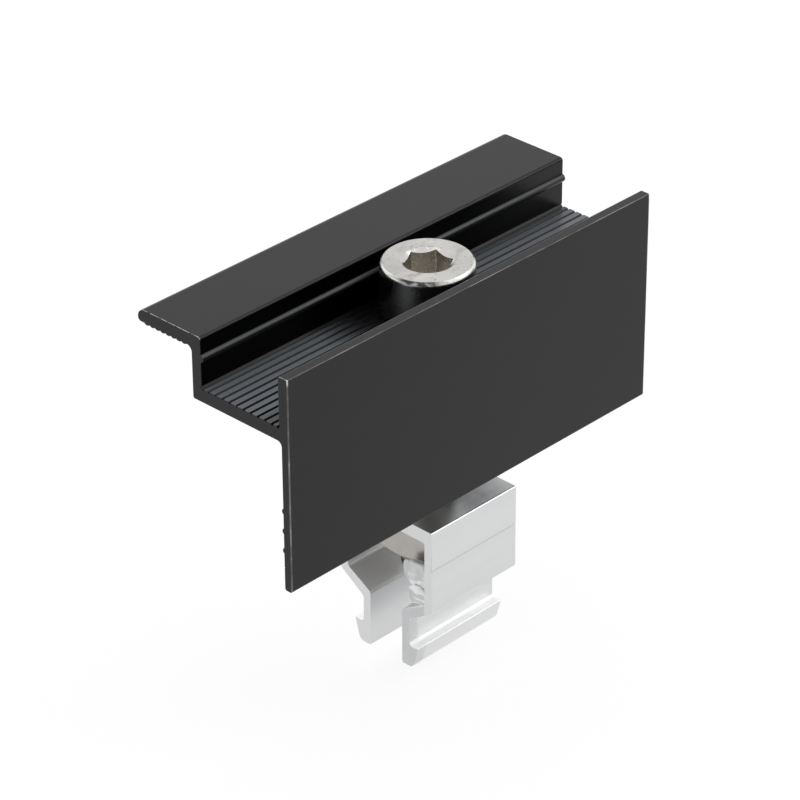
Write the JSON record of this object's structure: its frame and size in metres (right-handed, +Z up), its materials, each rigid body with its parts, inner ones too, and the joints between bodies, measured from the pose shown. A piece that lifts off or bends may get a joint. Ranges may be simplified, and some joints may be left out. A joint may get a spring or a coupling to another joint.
{
  "type": "solar panel end clamp",
  "caption": "Black extruded end clamp that holds a framed solar module's edge, with a socket cap screw, square nut and snap-in rail clip.",
  "frame": {"origin": "on the screw's axis, level with the rail face that the plate's foot stands on", "axes": "+Z up along the screw's axis towards its head, +X along the clamp's length, +Y from the screw towards the solar module under the flange"},
  "size_m": [0.07, 0.0277, 0.0591],
  "materials": {
    "black_anodised": "black anodised, satin",
    "stainless_screw": "bright stainless",
    "stainless_nut": "stainless",
    "mill_aluminium": "mill finish"
  },
  "bodies": {
    "clamp": {"clamp_profile": "black_anodised"},
    "screw": {"cap_screw": "stainless_screw"},
    "nut": {"square_nut": "stainless_nut"},
    "clip": {"rail_clip": "mill_aluminium"}
  },
  "joints": [
    {"name": "bolt_turn", "type": "hinge", "parent": "clamp", "child": "screw", "pos_m": [0, 0, 0], "axis": [0, 0, 1], "range_deg": [-576, 1152]},
    {"name": "nut_travel", "type": "slide", "parent": "clamp", "child": "nut", "axis": [0, 0, 1], "range_m": [-0.00401, 0.00201]},
    {"name": "clip_twist", "type": "hinge", "parent": "nut", "child": "clip", "pos_m": [0, 0, 0], "axis": [0, 0, 1], "range_deg": [-5, 5]}
  ],
  "couplings": [
    {"joint": "nut_travel", "follows": "bolt_turn", "m_per_rad": -0.00019894}
  ]
}
